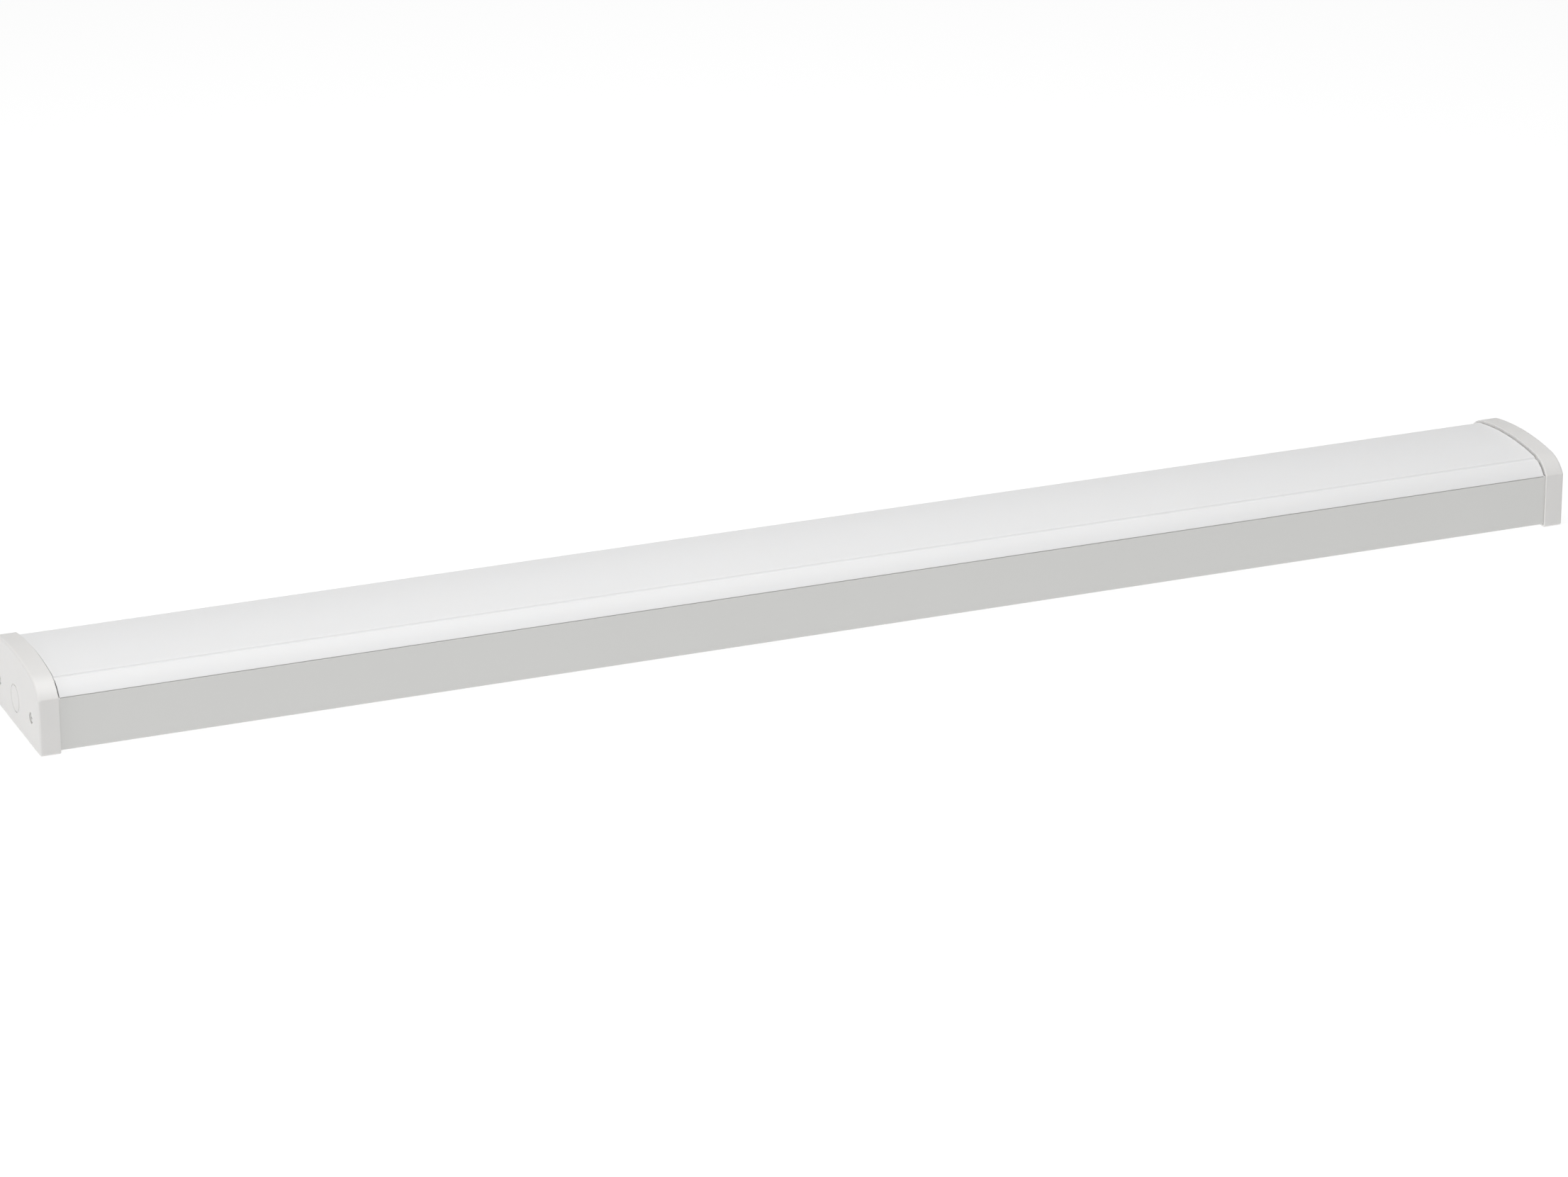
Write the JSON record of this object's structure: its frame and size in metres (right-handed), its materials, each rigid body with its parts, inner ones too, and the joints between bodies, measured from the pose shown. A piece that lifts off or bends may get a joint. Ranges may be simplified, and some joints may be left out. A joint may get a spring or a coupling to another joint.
{
  "type": "led strip batten",
  "caption": "Surface-mounted LED batten: folded steel tray, lift-off opal domed diffuser, pull-off moulded end caps, inner gear tray with LED boards, driver and push-release terminal block.",
  "frame": {"origin": "middle of the mounting back, level with the feet of the end caps and the fixing pads", "axes": "+X along the batten, towards the end with no driver; +Y across it; +Z from the mounting back out through the diffuser"},
  "size_m": [1.2, 0.121, 0.0575],
  "materials": {
    "white_powder_coat": "semi-gloss powder coat with a fine orange peel",
    "reflector_white": "smooth high-reflectance white paint",
    "zinc_plated_steel": "bright zinc-plated sheet",
    "rivet_aluminium": "plain aluminium rivet",
    "zinc_screw": "bright zinc-plated screw",
    "white_screw": "white-painted screw head",
    "spring_steel": "bare spring steel",
    "tinned_brass": "tin-plated brass",
    "board_white": "aluminium-core board with white solder mask",
    "led_package": "white LED package",
    "led_phosphor": "yellow phosphor under clear silicone",
    "connector_nylon": "natural nylon",
    "connector_grey": "light grey moulding",
    "driver_plastic": "fine-textured white moulding",
    "circuit_board_green": "green solder mask",
    "transformer_core": "dark ferrite and tape",
    "capacitor_sleeve": "black heat-shrunk sleeve",
    "button_brown": "moulded button",
    "button_green": "moulded button",
    "button_blue": "moulded button",
    "wire_brown": "PVC insulation",
    "wire_blue": "PVC insulation",
    "wire_green_yellow": "green and yellow striped PVC insulation",
    "wire_red": "PVC insulation",
    "wire_black": "PVC insulation",
    "wire_white": "PVC insulation",
    "grommet_rubber": "matt black rubber",
    "opal_diffuser": "opal polycarbonate, satin outside",
    "cap_plastic": "warm white moulding, fine satin texture",
    "latch_nylon": "natural nylon"
  },
  "bodies": {
    "housing": {"housing_tray": "white_powder_coat", "end_plate_left": "zinc_plated_steel", "end_plate_right": "zinc_plated_steel", "end_plate_rivets": "rivet_aluminium", "tray_bracket_left": "zinc_plated_steel", "tray_bracket_right": "zinc_plated_steel", "bracket_rivets": "rivet_aluminium", "gear_tray": "reflector_white", "led_board_front_left": "board_white", "led_board_front_right": "board_white", "led_board_rear_left": "board_white", "led_board_rear_right": "board_white", "led_packages_front_left": "led_package", "led_packages_front_right": "led_package", "led_packages_rear_left": "led_package", "led_packages_rear_right": "led_package", "board_connectors": "connector_nylon", "board_screws": "zinc_screw", "board_link_wires": "wire_white", "driver_base": "zinc_plated_steel", "driver_cover": "driver_plastic", "driver_circuit_board": "circuit_board_green", "driver_transformer": "transformer_core", "driver_capacitors": "capacitor_sleeve", "driver_terminals": "connector_grey", "driver_screws": "zinc_screw", "terminal_block": "connector_grey", "terminal_clamps": "spring_steel", "terminal_block_screws": "zinc_screw", "wire_live": "wire_brown", "wire_earth": "wire_green_yellow", "wire_neutral": "wire_blue", "earth_bond_wire": "wire_green_yellow", "earth_tag": "tinned_brass", "earth_washer": "zinc_screw", "earth_screw": "zinc_screw", "led_wires_positive": "wire_red", "led_wires_negative": "wire_black", "wire_clips": "connector_nylon", "cable_grommet": "grommet_rubber", "blanking_plugs": "cap_plastic", "diffuser_clips_front": "spring_steel", "diffuser_clips_rear": "spring_steel"},
    "diffuser": {"diffuser": "opal_diffuser"},
    "end_cap_left": {"end_cap_left": "cap_plastic", "end_cap_screws_left": "white_screw"},
    "end_cap_right": {"end_cap_right": "cap_plastic", "end_cap_screws_right": "white_screw"},
    "tray_latch_left": {"tray_latch_left": "latch_nylon"},
    "tray_latch_right": {"tray_latch_right": "latch_nylon"},
    "release_button_live": {"release_button_live": "button_brown"},
    "release_button_earth": {"release_button_earth": "button_green"},
    "release_button_neutral": {"release_button_neutral": "button_blue"}
  },
  "joints": [
    {"name": "diffuser_lift", "type": "slide", "parent": "housing", "child": "diffuser", "axis": [0, 0, 1], "range_m": [0, 0.06]},
    {"name": "end_cap_left_pull", "type": "slide", "parent": "housing", "child": "end_cap_left", "axis": [-1, 0, 0], "range_m": [0, 0.04]},
    {"name": "end_cap_right_pull", "type": "slide", "parent": "housing", "child": "end_cap_right", "axis": [1, 0, 0], "range_m": [0, 0.04]},
    {"name": "tray_latch_left_turn", "type": "hinge", "parent": "housing", "child": "tray_latch_left", "pos_m": [-0.44, 0, 0.029], "axis": [0, 0, 1], "range_deg": [0, 90]},
    {"name": "tray_latch_right_turn", "type": "hinge", "parent": "housing", "child": "tray_latch_right", "pos_m": [0.44, 0, 0.029], "axis": [0, 0, 1], "range_deg": [0, 90]},
    {"name": "release_button_live_press", "type": "slide", "parent": "housing", "child": "release_button_live", "axis": [0, 0, -1], "range_m": [0, 0.002], "stiffness_N_per_m": 1500},
    {"name": "release_button_earth_press", "type": "slide", "parent": "housing", "child": "release_button_earth", "axis": [0, 0, -1], "range_m": [0, 0.002], "stiffness_N_per_m": 1500},
    {"name": "release_button_neutral_press", "type": "slide", "parent": "housing", "child": "release_button_neutral", "axis": [0, 0, -1], "range_m": [0, 0.002], "stiffness_N_per_m": 1500}
  ]
}
